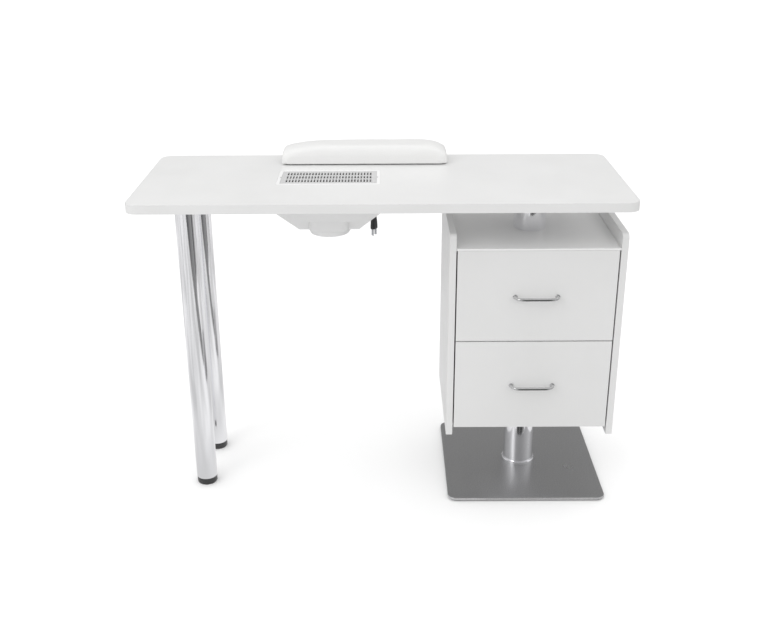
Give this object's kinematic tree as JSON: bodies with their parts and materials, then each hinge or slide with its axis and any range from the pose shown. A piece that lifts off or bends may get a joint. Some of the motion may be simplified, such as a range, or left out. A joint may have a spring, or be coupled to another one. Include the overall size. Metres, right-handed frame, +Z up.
{
  "type": "manicure table",
  "caption": "Manicure table: laminate top with dust vent and wrist cushion, chrome legs, drawer cabinet on a column over a weighted base.",
  "frame": {"origin": "on the floor under the middle of the tabletop", "axes": "+X along the table towards the cabinet end, -Y towards the side that the drawers open to, +Z up"},
  "size_m": [1.1, 0.435, 0.8],
  "materials": {
    "white_laminate": "satin melamine",
    "white_edging": "satin",
    "white_plastic": "semi-gloss",
    "grey_plastic": "satin",
    "chrome": "polished",
    "brushed_steel": "brushed",
    "zinc_steel": "zinc plated",
    "cast_iron": "painted black",
    "black_plastic": "satin",
    "black_rubber": "matte",
    "white_leatherette": "smooth",
    "drawer_lining": "melamine"
  },
  "bodies": {
    "table": {"tabletop": "white_laminate", "cabinet_side_left": "white_laminate", "cabinet_side_right": "white_laminate", "cabinet_deck": "white_laminate", "cabinet_floor": "white_laminate", "cabinet_back": "white_laminate", "edge_band": "white_edging", "vent_frame": "white_plastic", "fan_housing": "white_plastic", "outlet_spigot": "white_plastic", "cord_clip": "white_plastic", "leg_tube_front": "chrome", "leg_tube_rear": "chrome", "leg_plate_front": "chrome", "leg_plate_rear": "chrome", "column_upper": "chrome", "column_lower": "chrome", "base_collar": "chrome", "base_cover": "brushed_steel", "fan_motor": "zinc_steel", "motor_strap": "zinc_steel", "deck_clamp_plate": "zinc_steel", "plug_blade_left": "zinc_steel", "plug_blade_right": "zinc_steel", "cabinet_runner_upper_left": "zinc_steel", "cabinet_runner_upper_right": "zinc_steel", "cabinet_runner_lower_left": "zinc_steel", "cabinet_runner_lower_right": "zinc_steel", "base_weight": "cast_iron", "switch_bezel": "black_plastic", "cord_gland": "black_plastic", "cord_lead": "black_plastic", "cord_hank": "black_plastic", "cord_tail": "black_plastic", "plug_body": "black_plastic", "leg_foot_front": "black_plastic", "leg_foot_rear": "black_plastic", "base_gasket": "black_rubber"},
    "drawer_upper": {"drawer_upper_front": "white_laminate", "drawer_upper_handle": "chrome", "drawer_upper_runner_left": "zinc_steel", "drawer_upper_runner_right": "zinc_steel", "drawer_upper_side_left": "drawer_lining", "drawer_upper_side_right": "drawer_lining", "drawer_upper_back": "drawer_lining", "drawer_upper_floor": "drawer_lining"},
    "drawer_lower": {"drawer_lower_front": "white_laminate", "drawer_lower_handle": "chrome", "drawer_lower_runner_left": "zinc_steel", "drawer_lower_runner_right": "zinc_steel", "drawer_lower_side_left": "drawer_lining", "drawer_lower_side_right": "drawer_lining", "drawer_lower_back": "drawer_lining", "drawer_lower_floor": "drawer_lining"},
    "impeller": {"fan_impeller": "black_plastic"},
    "grille": {"vent_grille": "grey_plastic"},
    "cushion": {"wrist_cushion": "white_leatherette", "cushion_board": "black_plastic"},
    "rocker": {"switch_rocker": "black_plastic"}
  },
  "joints": [
    {"name": "drawer_upper_slide", "type": "slide", "parent": "table", "child": "drawer_upper", "axis": [0, -1, 0], "range_m": [0, 0.24]},
    {"name": "drawer_lower_slide", "type": "slide", "parent": "table", "child": "drawer_lower", "axis": [0, -1, 0], "range_m": [0, 0.24]},
    {"name": "fan_spin", "type": "hinge", "parent": "table", "child": "impeller", "pos_m": [-0.1245, 0.0045, 0.6535], "axis": [0, 0, 1], "continuous": true},
    {"name": "grille_lift", "type": "slide", "parent": "table", "child": "grille", "axis": [0, 0, 1], "range_m": [0, 0.03]},
    {"name": "cushion_lift", "type": "slide", "parent": "table", "child": "cushion", "axis": [0, 0, 1], "range_m": [0, 0.05]},
    {"name": "switch_rock", "type": "hinge", "parent": "table", "child": "rocker", "pos_m": [-0.045, 0.093, 0.7], "axis": [1, 0, 0], "range_deg": [0, 14]}
  ]
}
